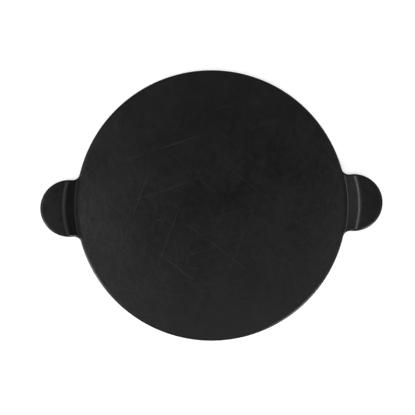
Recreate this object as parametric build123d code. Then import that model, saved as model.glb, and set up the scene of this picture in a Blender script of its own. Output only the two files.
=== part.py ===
from build123d import *
import math
import os

# Round glazed stoneware pizza stone with two raised tab handles.
# One fired stoneware body carries the disc, both handles and two foot rings.
# A black glaze covers it in three fields, which the bare foot rings keep apart.
# Frame: +X runs through the handles, +Z is up, the origin is the centre of the foot rings' plane.

# Cooking disc
disc_radius = 190.5
plate_thickness = 12.0
rim_top_round = 3.2
rim_under_round = 4.0

# Foot rings, each a low ridge with sloping flanks
foot_height = 4.0
outer_foot_setback = 29.5
inner_foot_radius = 62.0
foot_land_width = 8.0
foot_flare = 1.5
foot_land_round = 0.8
foot_root_round = 2.0

# Tab handles, each a hollow-sided neck that slopes up from the disc and a round tab
handle_projection = 48.5
handle_width = 80.0
handle_thickness = 11.0
handle_rise = 8.0
neck_corner_round = 10.0
tab_lift_angle = 4.0

# The slope's rounded foot begins this far outside the disc's rim, along an arc about the disc's centre,
# and the slope ends along a tighter arc, the crest
slope_setback = 0.5
slope_run = 14.5
crest_arc_radius = 117.0
slope_foot_round = 3.0
crest_round = 13.5
under_foot_round = 8.0
under_crest_round = 6.0

# Glaze, wiped off the foot rings up to a low line
glaze_thickness = 0.6
wiped_height = 1.2

# How far a cutting shape runs past what it cuts
overrun = 5.0

# Two edges closer than this lie in the same place, and a face whose normal leans less is upright
same_place = 0.01
upright_share = 0.01

# Heights that follow from the sizes above
underside_z = foot_height
face_z = underside_z + plate_thickness
crest_z = face_z + handle_rise
under_crest_z = crest_z - handle_thickness

# Distances from the centre that follow from the sizes above
outer_foot_radius = disc_radius - outer_foot_setback
slope_foot_radius = disc_radius + slope_setback + slope_foot_round / 2
crest_distance = slope_foot_radius + slope_run
handle_reach = disc_radius + handle_projection
handle_back = disc_radius - handle_width / 2
cut_half_width = handle_width / 2 + neck_corner_round + overrun

# The wall bends up along the slope, and a surface inside or under it bends further out than its top,
# by this share of the depth between them
bend_shift_share = math.tan(math.atan2(handle_rise, slope_run) / 2)


def plan_outline(inset):
    """The stone seen from above, drawn in by inset: disc, two round tabs and the hollow necks between."""
    tab = Pos(handle_reach - handle_width / 2, 0) * Circle(handle_width / 2 - inset)
    outline = Circle(disc_radius - inset) + tab + mirror(tab, Plane.YZ)
    return fillet(outline.vertices(), neck_corner_round + inset)


def handle_plan(inset):
    """The outline of one handle with its neck, and a stretch of the disc behind it."""
    length = handle_reach + overrun - handle_back
    window = Pos(handle_back + length / 2, 0) * Rectangle(length, handle_width + 2 * neck_corner_round)
    return plan_outline(inset) & window


def arc_face(back_x, centre_x, radius):
    """A flat face wider than a handle, from back_x out to an arc whose centre is on the X axis."""
    half = cut_half_width
    end_x = centre_x + math.sqrt(radius**2 - half**2)
    sides = Polyline((end_x, -half), (back_x, -half), (back_x, half), (end_x, half))
    arc = ThreePointArc((end_x, half), (centre_x + radius, 0), (end_x, -half))
    return make_face([sides, arc])


def above_bend(low_z, high_z, shift, foot_round, top_round):
    """All that lies above a surface which is level, slopes up and then lifts gently, out over a handle."""
    back_x = handle_back - overrun
    crest_x = crest_distance + shift
    tab_place = Pos(crest_x, 0, high_z) * Rot(0, -tab_lift_angle, 0)
    foot_face = Pos(0, 0, low_z) * arc_face(back_x, 0, slope_foot_radius + shift)
    crest_face = tab_place * arc_face(back_x - crest_x, -crest_arc_radius, crest_arc_radius)
    slab_length = 2 * (handle_reach - back_x)
    slab_height = handle_rise + handle_projection
    slab = extrude(tab_place * Rectangle(slab_length, 2 * cut_half_width), slab_height)
    space = loft([foot_face, crest_face], ruled=True) + slab
    foot_edge = space.edges().filter_by(GeomType.CIRCLE).sort_by(Axis.Z)[0]
    space = fillet(foot_edge, foot_round)
    crest_edge = space.edges().filter_by(GeomType.CIRCLE).sort_by(Axis.Z)[-1]
    return fillet(crest_edge, top_round)


def handle(inset):
    """One handle and its neck: a block of the outline's shape, cut to the bends above and below it."""
    shift = inset * bend_shift_share
    under_shift = plate_thickness * bend_shift_share - shift
    block = extrude(Pos(0, 0, underside_z) * handle_plan(inset), plate_thickness + handle_projection / 2)
    space_over = above_bend(
        face_z - inset, crest_z - inset, shift, slope_foot_round + inset, crest_round - inset
    )
    wall_and_over = above_bend(
        underside_z + inset, under_crest_z + inset, under_shift,
        under_foot_round - inset, under_crest_round + inset,
    )
    return (block & wall_and_over) - space_over


def rim_edges(solid, up):
    """The edges where the upright sides meet the faces that look up, or those that look down."""
    side_edges, level_edges = set(), set()
    for face in solid.faces():
        lean = face.normal_at().Z
        if abs(lean) < upright_share:
            side_edges.update(face.edges())
        elif (lean > 0) == up:
            level_edges.update(face.edges())
    return list(side_edges & level_edges)


def add_foot_ring(solid, radius, inset):
    """Adds a low ridge under the disc, wider at its root, with a flat land on the floor."""
    land = foot_land_width / 2 - inset
    root = land + foot_flare
    root_z = underside_z + inset
    profile = Polygon(
        (radius - land, 0), (radius + land, 0), (radius + root, root_z), (radius - root, root_z), align=None
    )
    solid += revolve(Plane.XZ * profile, Axis.Z)
    for z, reach, edge_round in ((root_z, root, foot_root_round + inset), (0, land, foot_land_round)):
        circles = [
            edge for edge in solid.edges().filter_by(GeomType.CIRCLE)
            if abs(edge.center().Z - z) < same_place and abs(abs(edge.radius - radius) - reach) < same_place
        ]
        solid = fillet(circles, edge_round)
    return solid


def stone(inset):
    """The whole stone, with each surface but the foot rings' lands drawn in by inset."""
    right_handle = handle(inset)
    disc_plan = Pos(0, 0, underside_z + inset) * Circle(disc_radius - inset)
    disc = extrude(disc_plan, plate_thickness - 2 * inset)
    solid = disc + right_handle + mirror(right_handle, Plane.YZ)
    solid = fillet(rim_edges(solid, up=True), rim_top_round - inset)
    solid = fillet(rim_edges(solid, up=False), rim_under_round - inset)
    for radius in (outer_foot_radius, inner_foot_radius):
        solid = add_foot_ring(solid, radius, inset)
    return solid


def glaze_fields(body):
    """The glaze between the glazed surface and the body, wiped off the foot rings: three shells."""
    glazed = split(stone(0), Plane.XY.offset(wiped_height), keep=Keep.TOP)
    return (glazed - body).solids().sort_by(lambda field: field.bounding_box().size.X)


if __name__ == "__main__":
    stone_body = stone(glaze_thickness)
    centre_well, ring_channel, outer_coat = glaze_fields(stone_body)
    parts = {
        "stone_body": stone_body,
        "glaze_outer_coat": outer_coat,
        "glaze_ring_channel": ring_channel,
        "glaze_centre_well": centre_well,
    }
    os.makedirs("parts", exist_ok=True)
    for name, part in parts.items():
        export_step(part, f"parts/{name}.step")
        print(name, round(part.volume), "mm3", "valid" if part.is_valid else "not valid")
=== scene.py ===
import math
import bmesh
import bpy
import numpy as np
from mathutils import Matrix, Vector


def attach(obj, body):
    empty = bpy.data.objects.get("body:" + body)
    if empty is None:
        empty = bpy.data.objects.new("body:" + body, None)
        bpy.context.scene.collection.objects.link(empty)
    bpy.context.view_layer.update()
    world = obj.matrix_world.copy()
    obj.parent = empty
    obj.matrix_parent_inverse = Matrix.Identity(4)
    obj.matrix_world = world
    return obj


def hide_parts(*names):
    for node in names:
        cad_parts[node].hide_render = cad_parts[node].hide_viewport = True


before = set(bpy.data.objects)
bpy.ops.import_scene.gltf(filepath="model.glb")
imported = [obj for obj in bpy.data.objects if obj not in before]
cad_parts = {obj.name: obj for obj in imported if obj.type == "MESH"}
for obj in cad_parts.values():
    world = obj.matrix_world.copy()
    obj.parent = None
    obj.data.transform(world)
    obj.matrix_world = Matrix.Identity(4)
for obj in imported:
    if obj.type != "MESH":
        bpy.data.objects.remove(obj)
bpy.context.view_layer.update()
print("stage: frame loaded, nodes", sorted(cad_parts))

mm = 0.001                       # sizes below are in millimetres, meshes in metres
quarterTurn = math.pi / 2
fullTurn = 2 * math.pi

# The stone's plan and levels. The origin is the centre of the plane that the foot rings stand on.
stone = {
    "discRadius": 190.5,
    "rimTopRound": 3.2,
    "rimUnderRound": 4.0,
    "wallMiddle": 10.0,          # height halfway between the disc's two faces
    "handleReach": 239.0,
    "tabRadius": 40.0,
    "neckRound": 10.0,
    "glazeThickness": 0.6,
}

# The bent face over a handle: level, a slow lead into the foot's tighter arc, up a slope from the foot's
# circle to the crest's, a wide arc there and then a gentle lift
topBend = {
    "low": 16.0,
    "high": 24.0,
    "footRadius": 191.0,
    "crestDistance": 206.8,
    "crestRadius": 117.0,
    "leadRound": 60.0,
    "leadDegrees": 5.5,
    "footRound": 4.6,
    "crestRound": 20.0,
    "liftDegrees": 3.8,
    "halfWidth": 60.0,           # the crest's circle is followed as far as this to each side
    "leadFades": (38.0, 52.0),   # the lead ends over these distances from the X axis
}

# The same under a handle, where the wall's bends lie a little further out
underBend = {
    "low": 4.0,
    "high": 13.0,
    "footRadius": 195.6,
    "crestDistance": 210.1,
    "crestRadius": 117.0,
    "leadRound": 60.0,
    "leadDegrees": 0.0,
    "footRound": 8.0,
    "crestRound": 6.0,
    "liftDegrees": 4.0,
    "halfWidth": 60.0,
    "leadFades": (38.0, 52.0),
}

# How finely the surfaces are divided
fineness = {
    "discColumns": 90,           # columns along each quarter of the disc's rim
    "halfHandleColumns": 22,     # columns across half a handle
    # rows on the level before a handle, on the foot's arc, on the slope and on the crest's arc
    "handleRows": (5, 8, 10, 12),
    "tabRows": 16,
    "tabCrowding": 1.3,          # above 1 the tab's rows crowd towards the crest
    "tipSpan": 0.65,             # share of the tab's arc that the last row across the handle covers
    "outlineSteps": 20000,       # places on the outline that a row's end is looked for in
    # rows on a quarter round, close together at both ends so that its shading runs on into the flats
    "roundShares": (0, 0.01, 0.04, 0.11, 0.22, 0.36, 0.5, 0.64, 0.78, 0.89, 0.96, 0.99, 1),
    "wallRows": 3,
    # rows between two edges as shares of the way, the face's from its centre
    "faceShares": (0, 0.08, 0.3, 0.6, 0.85),
    "faceEdge": (0.96, 1, 12),   # and then close ones: from, to and how many
    "underShares": (0.04, 0.5, 0.97, 1),
    "channelShares": (0.03, 0.5, 0.97),
    "wellShares": (0.97, 0.6, 0.15, 0),
    "ringColumns": 360,          # columns round the channel and the well
    "joinWithin": 0.004,         # points closer than this are made one
}


# Where the bends lie on a line of constant y. The foot and the crest are circles, x = c + sqrt(r^2 - y^2).
# An arc of radius r that turns from angle a to b goes r (sin b - sin a) out and r (cos a - cos b) up. The
# lead and the foot's arc go up to a point on the slope, so they start that far short of it.
def bendPlaces(y, bend):
    y = np.abs(y)
    foot = np.sqrt(bend["footRadius"] ** 2 - y**2)
    near = np.minimum(y, bend["halfWidth"])
    crest = bend["crestDistance"] - bend["crestRadius"] + np.sqrt(bend["crestRadius"] ** 2 - near**2)
    lift = math.radians(bend["liftDegrees"])
    crestHeight = bend["high"] - (bend["crestDistance"] - crest) * math.tan(lift)
    slope = np.arctan2(crestHeight - bend["low"], crest - foot)
    fadeStart, fadeEnd = bend["leadFades"]
    fade = np.clip((fadeEnd - y) / (fadeEnd - fadeStart), 0, 1)
    lead = math.radians(bend["leadDegrees"]) * fade**2 * (3 - 2 * fade)
    leadRise = bend["leadRound"] * (1 - np.cos(lead))
    footRise = leadRise + bend["footRound"] * (np.cos(lead) - np.cos(slope))
    footEnd = foot + footRise / np.tan(slope)
    leadEnd = footEnd - bend["footRound"] * (np.sin(slope) - np.sin(lead))
    crestReach = bend["crestRound"] * np.tan((slope - lift) / 2)
    return {
        "foot": foot, "slope": slope, "lead": lead, "leadRise": leadRise, "lift": lift,
        "leadStart": leadEnd - bend["leadRound"] * np.sin(lead), "leadEnd": leadEnd, "footEnd": footEnd,
        "crest": crest, "crestHeight": crestHeight, "crestStart": crest - crestReach * np.cos(slope),
        "crestEnd": crest + crestReach * math.cos(lift), "crestReach": crestReach,
    }


# Height at x, y: on a line of constant y a level line, two arcs, the slope, a wider arc and the lifted line.
# On an arc of radius r about c it is c +- sqrt(r^2 - (x - c)^2).
def bentHeight(x, y, bend):
    x = np.abs(x)
    at = bendPlaces(y, bend)
    low, leadRound = bend["low"], bend["leadRound"]
    footRound, crestRound = bend["footRound"], bend["crestRound"]
    leadArc = low + leadRound - np.sqrt(np.maximum(leadRound**2 - (x - at["leadStart"]) ** 2, 0))
    footX = at["leadEnd"] - footRound * np.sin(at["lead"])
    footZ = low + at["leadRise"] + footRound * np.cos(at["lead"])
    footArc = footZ - np.sqrt(np.maximum(footRound**2 - (x - footX) ** 2, 0))
    sloped = low + (x - at["foot"]) * np.tan(at["slope"])
    crestX = at["crestEnd"] + crestRound * math.sin(at["lift"])
    crestZ = at["crestHeight"] + at["crestReach"] * math.sin(at["lift"]) - crestRound * math.cos(at["lift"])
    crestArc = crestZ + np.sqrt(np.maximum(crestRound**2 - (x - crestX) ** 2, 0))
    lifted = at["crestHeight"] + (x - at["crest"]) * math.tan(at["lift"])
    tests = [x <= at[key] for key in ("leadStart", "leadEnd", "footEnd", "crestStart", "crestEnd")]
    return np.select(tests, [low + 0 * x, leadArc, footArc, sloped, crestArc], lifted)


# The x of a row across the handle at y. A row's whole part says whether it lies before the foot's arc, on
# it, on the slope or on the crest's arc, and its fraction divides that stretch evenly by length or angle.
def rowLine(row, y, start):
    at = bendPlaces(y, topBend)
    footRound, crestRound = topBend["footRound"], topBend["crestRound"]
    slope, lead, lift = at["slope"], at["lead"], at["lift"]
    crestX = at["crestEnd"] + crestRound * math.sin(lift)
    stretch = min(int(row), 3)   # row 4 ends the crest's arc
    share = row - stretch
    edge = np.sqrt(start**2 - y**2)
    return (
        edge + (at["leadEnd"] - edge) * share,
        at["leadEnd"] + footRound * (np.sin(lead + (slope - lead) * share) - np.sin(lead)),
        at["footEnd"] + (at["crestStart"] - at["footEnd"]) * share,
        crestX - crestRound * np.sin(slope + (lift - slope) * share),
    )[stretch]


# A quarter of the outline, drawn in by inset. place runs 0 to 1 along the tab's arc from its tip, 1 to 2
# along the neck's hollow arc and 2 to 3 along the disc. Each is c + r (cos a, sin a), and inset changes r.
def outline(place, inset):
    disc, tab, neck = stone["discRadius"], stone["tabRadius"], stone["neckRound"]
    tabX = stone["handleReach"] - tab
    neckX = ((disc + neck) ** 2 - (tab + neck) ** 2 + tabX**2) / (2 * tabX)
    neckY = math.sqrt((disc + neck) ** 2 - neckX**2)
    tabEnd = math.atan2(neckY, neckX - tabX)
    discStart = math.atan2(neckY, neckX)
    onTab, onNeck = place <= 1, (place > 1) & (place < 2)
    angle = np.select(
        [onTab, onNeck],
        [tabEnd * place, math.pi + tabEnd + (discStart - tabEnd) * (place - 1)],
        discStart + (quarterTurn - discStart) * (place - 2),
    )
    radius = np.select([onTab, onNeck], [tab - inset, neck + inset], disc - inset)
    x = np.select([onTab, onNeck], [tabX, neckX], 0.0) + radius * np.cos(angle)
    y = np.select([onTab, onNeck], [0.0, neckY], 0.0) + radius * np.sin(angle)
    return x, y


# The rows across a handle and the place on the outline where each ends. The outline's own x is compared
# with the row's x at the same y, and the place where they agree is read off between finely spaced ones.
def rowEnds():
    rows = [
        stretch + step / count
        for stretch, count in enumerate(fineness["handleRows"]) for step in range(count)
    ] + [4.0]
    inset = stone["rimTopRound"]
    start = stone["discRadius"] - inset
    places = np.linspace(2.0, 0.0, fineness["outlineSteps"] + 1)
    x, y = outline(places, inset)
    ends = [2.0]                 # the first row ends where the neck meets the disc
    for row in rows[1:]:
        past = np.maximum.accumulate(x - rowLine(row, y, start))
        ends.append(float(np.interp(0.0, past, places)))
    return rows, np.array(ends)


handleRows, handleEnds = rowEnds()
tabShares = np.linspace(0, 1, fineness["tabRows"] + 1)[1:] ** fineness["tabCrowding"]
tabEnds = handleEnds[-1] + (fineness["tipSpan"] - handleEnds[-1]) * tabShares
tipPlaces = np.linspace(0, fineness["tipSpan"], fineness["halfHandleColumns"] + 1)[:-1]
discPlaces = np.linspace(2, 3, fineness["discColumns"] + 1)[1:]
quarterPlaces = np.concatenate([tipPlaces, tabEnds[::-1], handleEnds[::-1], discPlaces])


# Points all round the drawn-in outline: the quarter, its mirror images in turn, and no point twice.
def wholeLoop(inset):
    x, y = outline(quarterPlaces, inset)
    forward, back = slice(0, -1), slice(None, 0, -1)
    loopX = np.concatenate([x[forward], -x[back], -x[forward], x[back]])
    loopY = np.concatenate([y[forward], y[back], -y[forward], -y[back]])
    return loopX, loopY


# Points over the right handle, rows outward and columns across. A row is its line at y = s Y with s from -1
# to 1, moved by (end - line) s^2 to meet the outline. The tab is a Coons patch between the last such row,
# the tip's arc and the sides: both pairs of edges blended, less the blend of the four corners.
def handleGrid(inset):
    s = np.linspace(-1, 1, 2 * fineness["halfHandleColumns"] + 1)
    start = stone["discRadius"] - inset
    endX, endY = outline(handleEnds, inset)
    turnY = math.asin(endY[0] / start)
    xs, ys = [start * np.cos(turnY * s)], [start * np.sin(turnY * s)]
    for row, sideX, sideY in zip(handleRows[1:], endX[1:], endY[1:]):
        y = sideY * s
        xs.append(rowLine(row, y, start) + (sideX - rowLine(row, np.array(sideY), start)) * s**2)
        ys.append(y)
    sideX, sideY = outline(tabEnds, inset)
    tipX, tipY = outline(np.abs(s) * fineness["tipSpan"], inset)
    tipY = tipY * np.sign(s)
    g, w = tabShares[:, None], (s[None, :] + 1) / 2
    x = (1 - g) * xs[-1] + g * tipX + sideX[:, None] - (1 - g) * endX[-1] - g * tipX[-1]
    acrossY = (2 * w - 1) * (sideY[:, None] - (1 - g) * endY[-1] - g * tipY[-1])
    y = (1 - g) * ys[-1] + g * tipY + acrossY
    return np.vstack([np.array(xs), x]), np.vstack([np.array(ys), y])


# Corner numbers of the faces of a grid that is numbered row by row from first.
def quads(rows, columns, first, closed):
    number = first + np.arange(rows * columns).reshape(rows, columns)
    if closed:
        number = np.concatenate([number, number[:, :1]], axis=1)
    corners = [number[:-1, :-1], number[:-1, 1:], number[1:, 1:], number[1:, :-1]]
    return np.stack(corners, axis=-1).reshape(-1, 4)


# Makes one mesh object of several grids, joined where their edges meet, and gives it a wall inwards. A grid
# is its points' x, y and z in millimetres, how thin the glaze is there, and whether its rows close on
# themselves. The faces are turned all together, so that the largest level one looks up if it lies above the
# middle of the disc's wall, and down if it lies below.
def addMesh(name, grids, material, node):
    points, faces, edge, count = [], [], [], 0
    for x, y, z, thin, closed in grids:
        points.append(np.stack([x, y, z], axis=-1).reshape(-1, 3) * mm)
        edge.append(np.broadcast_to(thin, x.shape).reshape(-1))
        faces.append(quads(x.shape[0], x.shape[1], count, closed))
        count += x.size
    mesh = bpy.data.meshes.new(name)
    mesh.from_pydata(np.concatenate(points), [], np.concatenate(faces).tolist())
    thinness = mesh.attributes.new("glazeThin", "FLOAT", "POINT")
    thinness.data.foreach_set("value", np.concatenate(edge).astype(np.float32))
    work = bmesh.new()
    work.from_mesh(mesh)
    bmesh.ops.remove_doubles(work, verts=work.verts, dist=fineness["joinWithin"] * mm)
    bmesh.ops.recalc_face_normals(work, faces=work.faces)
    level = max(work.faces, key=lambda face: abs(face.normal.z) * face.calc_area())
    wantsUp = level.calc_center_median().z > stone["wallMiddle"] * mm
    if wantsUp != (level.normal.z > 0):
        bmesh.ops.reverse_faces(work, faces=work.faces)
    work.to_mesh(mesh)
    work.free()
    mesh.polygons.foreach_set("use_smooth", np.ones(len(mesh.polygons), bool))
    mesh.materials.append(material)
    piece = bpy.data.objects.new(name, mesh)
    bpy.context.scene.collection.objects.link(piece)
    wall = piece.modifiers.new("wall", "SOLIDIFY")
    wall.thickness = stone["glazeThickness"] * mm
    wall.offset = -1
    wall.use_even_offset = True
    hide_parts(node)
    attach(piece, "root")
    return piece


# The foot rings, whose radii are those of the middles of their lands
footRings = {
    "outerRadius": 161.0,
    "innerRadius": 62.0,
    "landHalf": 4.0,             # from a ring's middle to the edge of its land, and of its root
    "rootHalf": 5.5,
    "rootRound": 2.0,
    "underside": 4.0,
    "wipedHeight": 1.2,          # the glaze ends at this height
    "thinReach": 2.0,            # and runs thin over this much above it
    "arcSteps": 8,
}


# Radius and height along one flank of a foot ring, from the wiped line up to the underside: a straight
# flank, then an arc whose centre lies one rounding below the underside and beside the flank.
def ringFlank(radius, side):
    rise, run = footRings["underside"], footRings["rootHalf"] - footRings["landHalf"]
    lean = math.atan2(rise, run)
    reach = footRings["rootRound"] * math.tan(lean / 2)
    angle = np.linspace(lean, 0, footRings["arcSteps"] + 1)
    out = footRings["rootHalf"] + reach - footRings["rootRound"] * np.sin(angle)
    up = rise - footRings["rootRound"] * (1 - np.cos(angle))
    wiped = footRings["wipedHeight"]
    out = np.concatenate([[footRings["landHalf"] + run * wiped / rise], out])
    up = np.concatenate([[wiped], up])
    return radius + side * out, up


# How thin the glaze is along such a flank: 1 at the wiped line, fading to 0 over thinReach above it.
def flankThin(up):
    return np.clip(1 - (up - footRings["wipedHeight"]) / footRings["thinReach"], 0, 1)[:, None]


# A grid of the profile turned round the Z axis: x = r cos a, y = r sin a.
def turned(profileR, profileZ, loopAngle, thin=0.0):
    r, angle = np.meshgrid(profileR, loopAngle, indexing="ij")
    z = np.repeat(np.array(profileZ, float)[:, None], len(loopAngle), axis=1)
    return r * np.cos(angle), r * np.sin(angle), z, thin, True


# The outer coat's grids: the face, both handles' tops, the rounded rim all round, both handles' undersides
# and the underside as far in as the outer foot ring. The rim is the outline drawn in by r (1 - sin a), and
# its height is the bent face's less r (1 - cos a).
def coatGrids():
    topRound, underRound = stone["rimTopRound"], stone["rimUnderRound"]
    grids = []
    s = np.linspace(-1, 1, 2 * fineness["halfHandleColumns"] + 1)
    edgeX, edgeY = outline(np.array([2.0]), 0.0)
    handleTurn = math.atan2(edgeY[0], edgeX[0])
    discTurn = np.linspace(handleTurn, quarterTurn, fineness["discColumns"] + 1)
    upperHalf = np.concatenate([discTurn, math.pi - discTurn[::-1][1:]])
    around = np.concatenate([s[:-1] * handleTurn, upperHalf[:-1]])
    around = np.concatenate([around, around + math.pi])
    shares = np.concatenate([fineness["faceShares"], np.linspace(*fineness["faceEdge"])])
    x, y = turned((stone["discRadius"] - topRound) * shares, 0 * shares, around)[:2]
    grids.append((x, y, bentHeight(x, y, topBend), 0.0, True))
    for inset, bend in ((topRound, topBend), (underRound, underBend)):
        x, y = handleGrid(inset)
        z = bentHeight(x, y, bend)
        grids += [(x, y, z, 0.0, False), (-x, y, z, 0.0, False)]
    angle = quarterTurn * np.array(fineness["roundShares"])
    columns = len(wholeLoop(0)[0])
    for rounding, bend, sign in ((topRound, topBend, -1), (underRound, underBend, 1)):
        loops = [wholeLoop(rounding * (1 - math.sin(a))) for a in angle]
        x, y = np.array([loop[0] for loop in loops]), np.array([loop[1] for loop in loops])
        drop = rounding * (1 - np.cos(angle))[:, None]
        z = bentHeight(x, y, bend) + sign * drop
        thin = np.sin(angle)[:, None] * np.ones((1, columns)) if sign < 0 else 0.0
        grids.append((x, y, z, thin, True))
    topEdge, underEdge = (grid[2][-1] for grid in grids[-2:])
    x, y = wholeLoop(0)
    share = np.linspace(0, 1, fineness["wallRows"] + 1)[:, None]
    z = (1 - share) * topEdge + share * underEdge
    grids.append((x + 0 * share, y + 0 * share, z, 1 - share * np.ones((1, columns)), True))
    flankR, flankZ = ringFlank(footRings["outerRadius"], 1)
    width = stone["discRadius"] - underRound - flankR[-1]
    underR = flankR[-1] + width * np.array(fineness["underShares"])
    profileR = np.concatenate([flankR, underR])
    profileZ = np.concatenate([flankZ, 0 * underR + flankZ[-1]])
    grids.append(turned(profileR, profileZ, around, flankThin(profileZ)))
    return grids


# The glaze between the two foot rings: up one flank, level, and down the other.
def channelGrid(around):
    innerR, innerZ = ringFlank(footRings["innerRadius"], 1)
    outerR, outerZ = ringFlank(footRings["outerRadius"], -1)
    levelR = innerR[-1] + (outerR[-1] - innerR[-1]) * np.array(fineness["channelShares"])
    levelZ = np.full(len(levelR), footRings["underside"])
    profileZ = np.concatenate([innerZ, levelZ, outerZ[::-1]])
    return turned(np.concatenate([innerR, levelR, outerR[::-1]]), profileZ, around, flankThin(profileZ))


# The glaze inside the inner foot ring: up its flank and level to the centre.
def wellGrid(around):
    flankR, flankZ = ringFlank(footRings["innerRadius"], -1)
    levelR = flankR[-1] * np.array(fineness["wellShares"])
    profileZ = np.concatenate([flankZ, np.full(len(levelR), footRings["underside"])])
    return turned(np.concatenate([flankR, levelR]), profileZ, around, flankThin(profileZ))


# Adds a shader node. A value's name is a socket's name with _ for a space, or else a property's.
def addNode(tree, kind, place=(0, 0), **values):
    node = tree.nodes.new(kind)
    node.location = place
    for name, value in values.items():
        socket = node.inputs.get(name.replace("_", " "))
        if socket is not None:
            socket.default_value = value
        else:
            setattr(node, name, value)
    return node


# Gives each of a node's sockets its value, which may be another node's socket, a number or a colour.
def feed(tree, values, sockets):
    for value, socket in zip(values, sockets):
        if isinstance(value, bpy.types.NodeSocket):
            tree.links.new(value, socket)
        else:
            socket.default_value = (*value, 1) if isinstance(value, tuple) else value


# A new material: itself, its tree, its main shader and the object's own coordinates.
def startMaterial(name):
    material = bpy.data.materials.new(name)
    material.use_nodes = True
    tree = material.node_tree
    coords = addNode(tree, "ShaderNodeTexCoord", (-1500, 0))
    return material, tree, tree.nodes["Principled BSDF"], coords.outputs["Object"]


# Noise over coords, as a value from 0 to 1. Its pattern is a scale, a detail and a roughness, and its bend
# distorts it.
def noise(tree, coords, pattern, place, bend=0.0):
    scale, detail, roughness = pattern
    node = addNode(
        tree, "ShaderNodeTexNoise", place,
        Scale=scale, Detail=detail, Roughness=roughness, Distortion=bend,
    )
    tree.links.new(coords, node.inputs["Vector"])
    return node.outputs["Fac"]


# How far coords lie from the middle of the nearest of scattered cells.
def cells(tree, coords, scale, place):
    node = addNode(tree, "ShaderNodeTexVoronoi", place, Scale=scale)
    tree.links.new(coords, node.inputs["Vector"])
    return node.outputs["Distance"]


# The height of coords, their Z.
def heightOf(tree, coords, place):
    node = addNode(tree, "ShaderNodeSeparateXYZ", place)
    tree.links.new(coords, node.inputs[0])
    return node.outputs["Z"]


# The length of coords, their distance from the origin.
def distanceOf(tree, coords, place):
    node = addNode(tree, "ShaderNodeVectorMath", place, operation="LENGTH")
    tree.links.new(coords, node.inputs[0])
    return node.outputs["Value"]


# A colour ramp on source that runs through the colours at the given places. A plain number is a grey.
def ramp(tree, source, stops, colours, place=(0, 0)):
    node = addNode(tree, "ShaderNodeValToRGB", place)
    points = node.color_ramp.elements
    while len(points) < len(stops):
        points.new(0.5)
    for point, stop, colour in zip(points, stops, colours):
        point.position = stop
        point.color = (*colour, 1) if isinstance(colour, tuple) else (colour, colour, colour, 1)
    tree.links.new(source, node.inputs["Fac"])
    return node.outputs["Color"]


# A value that runs from one end to the other as source goes from start to end, and stays there beyond.
def between(tree, source, reach, values, place, kind="LINEAR"):
    node = addNode(
        tree, "ShaderNodeMapRange", place, interpolation_type=kind,
        From_Min=reach[0], From_Max=reach[1], To_Min=values[0], To_Max=values[1],
    )
    tree.links.new(source, node.inputs["Value"])
    return node.outputs["Result"]


# A sum, product or the larger of two values. Each may be a socket or a number.
def joined(tree, operation, first, second, place=(0, 0)):
    node = addNode(tree, "ShaderNodeMath", place, operation=operation)
    feed(tree, (first, second), node.inputs[:2])
    return node.outputs[0]


# A mix of two colours by share. Each may be a socket or a colour.
def mixColours(tree, share, first, second, place=(0, 0)):
    node = addNode(tree, "ShaderNodeMix", place, data_type="RGBA")
    tree.links.new(share, node.inputs[0])
    feed(tree, (first, second), node.inputs[6:8])
    return node.outputs[2]


# A relief of a depth and a strength, laid over a previous one if there is any.
def bump(tree, height, relief, previous=None, place=(0, 0)):
    node = addNode(tree, "ShaderNodeBump", place, Distance=relief[0], Strength=relief[1])
    tree.links.new(height, node.inputs["Height"])
    if previous is not None:
        tree.links.new(previous, node.inputs["Normal"])
    return node.outputs["Normal"]


# Black satin glaze, with its lengths in metres. Each pattern is a noise's scale per metre, so that 200 is
# about 5 mm across, then its detail and roughness. A relief is a depth and a strength, and a span is where
# on the noise a change starts and is complete.
glazeLook = {
    "black": (0.0033, 0.0032, 0.0032),
    "softBlack": (0.0046, 0.0044, 0.0042),
    "clouds": (16.0, 3.0, 0.55),
    "mottles": (110.0, 3.0, 0.6),
    "toneSpan": (0.38, 0.62),
    "roughness": (0.175, 0.25),              # on the black and on the softer black
    "roughSpan": (0.36, 0.64),
    "fleck": (0.0096, 0.0090, 0.0084),       # fine crystals in the black
    "flecks": (1300.0, 1.0, 0.5),
    "fleckSpan": (0.63, 0.70),
    "thinEdge": (0.0092, 0.0067, 0.0053),    # browner where the glaze runs thin
    "thinPatches": (140.0, 4.0, 0.6),
    "thinSpan": (0.35, 0.62),
    "thinShares": (0.15, 1.0),               # how much of the brown shows at the ends of that span
    "peel": (190.0, 1.5, 0.45),
    "peelRelief": (0.00016, 0.6),
    "grain": (1900.0, 2.0, 0.5),
    "grainRelief": (0.00002, 0.5),
    "pinholeScale": 85.0,
    "pinholeSpan": (0.0, 0.045),
    "pinholeRelief": (0.00015, 0.6),
    "rubbed": (0.0076, 0.0074, 0.0072),      # hairline marks of cutters on the cooking face
    "rubbedRoughness": 0.38,
    "markDegrees": (17.0, 68.0, 141.0),      # the ways that the hairlines run, from +X
    "markSize": (0.11, 0.0013),              # length and width of the noise that they are cut from
    "marks": (1.0, 1.0, 0.5),
    "markBend": 0.9,
    "markSpan": (0.71, 0.76),
    "markReach": (0.125, 0.168),             # they fade out between these distances from the centre
    "faceHeight": (0.0154, 0.0160),          # and up to the face, so that the underside has none
    "specular": 0.5,
    "bending": 1.5,                          # index of refraction
}


# Hairlines that run one way: noise stretched along the turned X axis, cut off near its peaks. Its own
# distortion bends them a little, as a cutting wheel wanders.
def hairlines(tree, coords, degrees, look, place):
    length, width = look["markSize"]
    along = addNode(tree, "ShaderNodeMapping", place, vector_type="TEXTURE")
    along.inputs["Rotation"].default_value = (0, 0, math.radians(degrees))
    along.inputs["Scale"].default_value = (length, width, length)
    tree.links.new(coords, along.inputs["Vector"])
    streaks = noise(tree, along.outputs[0], look["marks"], place, look["markBend"])
    return ramp(tree, streaks, look["markSpan"], (0.0, 1.0), place)


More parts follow.
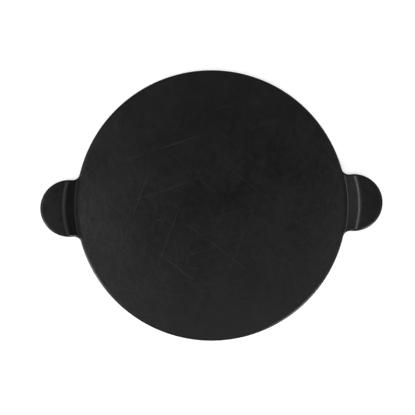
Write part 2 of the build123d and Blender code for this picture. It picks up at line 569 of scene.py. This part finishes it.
# Black with slow clouds and small mottles of a softer black, fine flecks, browner where the glaze runs thin
# at the rim and along the wiped foot rings. Its gloss follows the mottles and the hairlines, and its relief
# is an orange peel, a fine grain and a few pinholes.
def blackGlaze(look):
    material, tree, shader, coords = startMaterial("black_glaze")
    clouds = joined(tree, "MULTIPLY", noise(tree, coords, look["clouds"], (-1300, 300)), 0.5, (-1100, 300))
    mottles = joined(tree, "MULTIPLY", noise(tree, coords, look["mottles"], (-1300, 100)), 0.5, (-1100, 100))
    uneven = joined(tree, "ADD", clouds, mottles, (-900, 200))
    tone = ramp(tree, uneven, look["toneSpan"], (look["black"], look["softBlack"]), (-700, 300))
    flecks = noise(tree, coords, look["flecks"], (-1100, 800))
    flecks = ramp(tree, flecks, look["fleckSpan"], (0.0, 1.0), (-850, 800))
    flecked = mixColours(tree, flecks, tone, look["fleck"], (-600, 500))

    onFace = between(
        tree, heightOf(tree, coords, (-1100, -900)), look["faceHeight"], (0.0, 1.0), (-850, -900)
    )
    inReach = between(
        tree, distanceOf(tree, coords, (-1100, -750)), look["markReach"], (1.0, 0.0), (-850, -750)
    )
    marks = 0.0
    for number, degrees in enumerate(look["markDegrees"]):
        oneWay = hairlines(tree, coords, degrees, look, (-1300, -1100 - 200 * number))
        marks = joined(tree, "MAXIMUM", oneWay, marks, (-900, -1100 - 200 * number))
    rubbed = joined(tree, "MULTIPLY", joined(tree, "MULTIPLY", onFace, inReach), marks)
    marked = mixColours(tree, rubbed, flecked, look["rubbed"], (-450, 500))

    thin = addNode(tree, "ShaderNodeAttribute", (-1100, 600), attribute_name="glazeThin")
    patches = noise(tree, coords, look["thinPatches"], (-1100, 450))
    patches = ramp(tree, patches, look["thinSpan"], look["thinShares"], (-900, 450))
    patchy = joined(tree, "MULTIPLY", thin.outputs["Fac"], patches, (-700, 600))
    edged = mixColours(tree, patchy, marked, look["thinEdge"], (-300, 300))
    tree.links.new(edged, shader.inputs["Base Color"])

    satin = ramp(tree, uneven, look["roughSpan"], look["roughness"], (-700, 0))
    worn = mixColours(tree, rubbed, satin, (look["rubbedRoughness"],) * 3, (-500, 0))
    tree.links.new(worn, shader.inputs["Roughness"])

    relief = bump(tree, noise(tree, coords, look["peel"], (-1100, -300)), look["peelRelief"])
    relief = bump(tree, noise(tree, coords, look["grain"], (-1100, -450)), look["grainRelief"], relief)
    holes = cells(tree, coords, look["pinholeScale"], (-1100, -600))
    holes = ramp(tree, holes, look["pinholeSpan"], (0.0, 1.0), (-850, -600))
    tree.links.new(bump(tree, holes, look["pinholeRelief"], relief), shader.inputs["Normal"])
    shader.inputs["Specular IOR Level"].default_value = look["specular"]
    shader.inputs["IOR"].default_value = look["bending"]
    return material


# Bare fired stoneware on the foot rings, in the same terms
clayLook = {
    "buff": (0.42, 0.33, 0.235),
    "pale": (0.54, 0.45, 0.34),
    "grain": (900.0, 5.0, 0.6),
    "bodySpan": (0.35, 0.65),
    "iron": (0.10, 0.055, 0.03),
    "speckScale": 420.0,
    "speckSpan": (0.08, 0.2),
    "speckShares": (0.85, 0.0),
    "rubbed": (0.24, 0.22, 0.20),
    "rubbedHeight": (0.0, 0.0004),
    "rubbedShares": (0.7, 0.0),
    "rubbedPatches": (60.0, 4.0, 0.6),
    "roughness": (0.92, 0.72),               # in the grain's hollows and on its tops
    "roughSpan": (0.3, 0.7),
    "relief": (0.0001, 0.7),
    "specular": 0.3,
}


# Buff clay with pale grog and small iron specks, greyed on the lands that rub on shelves and tables.
def bareClay(look):
    material, tree, shader, coords = startMaterial("fired_body")
    grain = noise(tree, coords, look["grain"], (-1100, 300))
    body = ramp(tree, grain, look["bodySpan"], (look["buff"], look["pale"]), (-850, 300))
    specks = cells(tree, coords, look["speckScale"], (-1100, 0))
    specks = ramp(tree, specks, look["speckSpan"], look["speckShares"], (-850, 0))
    speckled = mixColours(tree, specks, body, look["iron"], (-500, 200))
    low = between(
        tree, heightOf(tree, coords, (-1100, -250)), look["rubbedHeight"], look["rubbedShares"], (-850, -250)
    )
    patches = noise(tree, coords, look["rubbedPatches"], (-1100, -450))
    greyed = joined(tree, "MULTIPLY", low, patches, (-650, -250))
    worn = mixColours(tree, greyed, speckled, look["rubbed"], (-300, 200))
    tree.links.new(worn, shader.inputs["Base Color"])
    dull = ramp(tree, grain, look["roughSpan"], look["roughness"], (-850, 600))
    tree.links.new(dull, shader.inputs["Roughness"])
    tree.links.new(bump(tree, grain, look["relief"]), shader.inputs["Normal"])
    shader.inputs["Specular IOR Level"].default_value = look["specular"]
    return material


glaze = blackGlaze(glazeLook)
clay = bareClay(clayLook)
print("stage: materials")

coat = addMesh("glaze_coat", coatGrids(), glaze, "glaze_outer_coat")
print("stage: outer coat,", len(coat.data.polygons), "faces")

aroundRing = np.linspace(0, fullTurn, fineness["ringColumns"] + 1)[:-1]
addMesh("glaze_channel", [channelGrid(aroundRing)], glaze, "glaze_ring_channel")
addMesh("glaze_well", [wellGrid(aroundRing)], glaze, "glaze_centre_well")
print("stage: glaze in the channel and the well")

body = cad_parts["stone_body"]
body.data.materials.clear()
body.data.materials.append(clay)

# The studio: a pale floor, a room that is pale at the horizon and dim overhead, soft boxes that the glaze
# mirrors and one that it doesn't. Directions are an azimuth from +X and a tilt from straight up, in degrees.
studio = {
    "floorHalf": 20.0,
    "floorWhite": 0.8,
    "floorRoughness": 0.9,
    "floorGlow": (0.52, 1.0),    # near the stone, and beyond glowReach
    "glowReach": (0.5, 1.6),
    "floorSheen": 0.1,           # share of the glow that glossy rays see
    # radiance of the room by the height of the direction: 0 is the horizon and 1 straight up
    "roomHeights": (0.0, 0.12, 0.3, 0.72, 0.85, 0.95, 0.988, 1.0),
    "roomRadiance": (0.9, 0.5, 0.05, 0.085, 0.14, 0.25, 0.21, 0.05),
    # pale stretches of the ceiling and a dim one, which fade out over their reach in degrees
    "ceiling": {
        "pastLeft": {"azimuth": -147, "tilt": 22, "reach": 22, "radiance": 0.48},
        "pastRight": {"azimuth": -47, "tilt": 22, "reach": 22, "radiance": 0.35},
        "farLeft": {"azimuth": 180, "tilt": 52, "reach": 22, "radiance": 0.37},
        "byRight": {"azimuth": -3, "tilt": 17.5, "reach": 7.5, "radiance": 0.34},
        "dimRight": {"azimuth": 7, "tilt": 9, "reach": 9, "radiance": -0.13},
    },
    # distance, width and height in metres, and radiance as seen from the stone
    "boxes": {
        "fill": {"azimuth": 90, "tilt": 0, "distance": 5.0, "size": (3.0, 3.0), "radiance": 3.0},
        "overLeft": {"azimuth": -171, "tilt": 22.5, "distance": 5.0, "size": (3.0, 0.8), "radiance": 3.7},
        "sideLeft": {"azimuth": -152, "tilt": 68, "distance": 2.0, "size": (0.55, 0.8), "radiance": 8.0},
        "sideRight": {"azimuth": -51, "tilt": 58, "distance": 2.0, "size": (0.8, 0.8), "radiance": 7.0},
        "overRight": {"azimuth": 3, "tilt": 25, "distance": 5.0, "size": (2.6, 1.8), "radiance": 0.50},
    },
    "unmirrored": "fill",        # this box gives the plain level of light and shows in no gloss
}


# Straight up is +Z, azimuth turns from +X towards +Y, and tilt is the angle from straight up:
# (cos a sin t, sin a sin t, cos t).
def towards(place):
    azimuth, tilt = math.radians(place["azimuth"]), math.radians(place["tilt"])
    return Vector((math.cos(azimuth) * math.sin(tilt), math.sin(azimuth) * math.sin(tilt), math.cos(tilt)))


# The kinds of ray, and 1 for those of the camera and those that go on through clear things, else 0.
def rayKinds(tree, place):
    rays = addNode(tree, "ShaderNodeLightPath", place).outputs
    return rays, joined(tree, "MAXIMUM", rays["Is Camera Ray"], rays["Is Transmission Ray"], place)


# A square floor. Camera rays see it glow, less near the stone than far off, and glossy rays a small share.
def addFloor(look):
    half, white = look["floorHalf"], look["floorWhite"]
    mesh = bpy.data.meshes.new("floor")
    corners = [(-half, -half, 0), (half, -half, 0), (half, half, 0), (-half, half, 0)]
    mesh.from_pydata(corners, [], [(0, 1, 2, 3)])
    floor = bpy.data.objects.new("floor", mesh)
    bpy.context.scene.collection.objects.link(floor)
    material, tree, shader, coords = startMaterial("pale_floor")
    shader.inputs["Base Color"].default_value = (white, white, white, 1)
    shader.inputs["Roughness"].default_value = look["floorRoughness"]
    shader.inputs["Specular IOR Level"].default_value = 0.0
    shader.inputs["Emission Color"].default_value = (1, 1, 1, 1)
    rays, clear = rayKinds(tree, (-800, 0))
    mirrored = joined(tree, "MULTIPLY", rays["Is Glossy Ray"], look["floorSheen"], (-600, 150))
    seen = joined(tree, "MAXIMUM", clear, mirrored, (-400, 0))
    away = distanceOf(tree, coords, (-800, -300))
    level = between(tree, away, look["glowReach"], look["floorGlow"], (-600, -300))
    tree.links.new(joined(tree, "MULTIPLY", seen, level, (-200, 0)), shader.inputs["Emission Strength"])
    mesh.materials.append(material)


# The world: white for the camera's rays and those through clear things, and for all others the room's
# radiance by height. A stretch of the ceiling adds to it by the cosine between its middle and the direction,
# eased from nothing at its reach to all at its middle.
def addRoom(look):
    world = bpy.data.worlds.new("room")
    bpy.context.scene.world = world
    world.use_nodes = True
    tree = world.node_tree
    background = tree.nodes["Background"]
    direction = addNode(tree, "ShaderNodeTexCoord", (-1200, 0)).outputs["Generated"]
    height = heightOf(tree, direction, (-1000, 0))
    room = ramp(tree, height, look["roomHeights"], look["roomRadiance"], (-800, 0))
    for number, stretch in enumerate(look["ceiling"].values(), 1):
        along = addNode(tree, "ShaderNodeVectorMath", (-1000, 300 * number), operation="DOT_PRODUCT")
        tree.links.new(direction, along.inputs[0])
        along.inputs[1].default_value = towards(stretch)
        reach, values = (math.cos(math.radians(stretch["reach"])), 1.0), (0.0, stretch["radiance"])
        radiance = between(tree, along.outputs["Value"], reach, values, (-800, 300 * number), "SMOOTHSTEP")
        total = addNode(tree, "ShaderNodeVectorMath", (-600, 300 * number), operation="ADD")
        feed(tree, (room, radiance), total.inputs[:2])
        room = total.outputs[0]
    clear = rayKinds(tree, (-1000, -300))[1]
    tree.links.new(mixColours(tree, clear, room, (1, 1, 1), (-400, 0)), background.inputs["Color"])
    background.inputs["Strength"].default_value = 1.0


# Soft boxes that face the stone. A box's power is its radiance times pi times its area.
def addBoxes(look):
    for name, box in look["boxes"].items():
        light = bpy.data.lights.new(name, "AREA")
        light.shape = "RECTANGLE"
        width, height = box["size"]
        light.size, light.size_y = width, height
        light.energy = box["radiance"] * math.pi * width * height
        lamp = bpy.data.objects.new(name, light)
        lamp.location = towards(box) * box["distance"]
        lamp.rotation_euler = towards(box).to_track_quat("Z", "Y").to_euler()
        lamp.visible_camera = False
        lamp.visible_glossy = name != look["unmirrored"]
        bpy.context.scene.collection.objects.link(lamp)


addFloor(studio)
addRoom(studio)
addBoxes(studio)
print("stage: studio")

# The camera looks straight down, from a little to the -X and -Y side of the stone's centre
view = {"x": -5.55, "y": -2.72, "height": 1216.0, "rollDegrees": -1.19, "lens": 74.16, "sensor": 36.0}
cameraData = bpy.data.cameras.new("camera")
cameraData.lens = view["lens"]
cameraData.sensor_width = view["sensor"]
camera = bpy.data.objects.new("camera", cameraData)
camera.location = (view["x"] * mm, view["y"] * mm, view["height"] * mm)
camera.rotation_euler = (0, 0, math.radians(view["rollDegrees"]))
bpy.context.scene.collection.objects.link(camera)
bpy.context.scene.camera = camera
bpy.context.scene.view_settings.view_transform = "Standard"

bpy.context.view_layer.update()
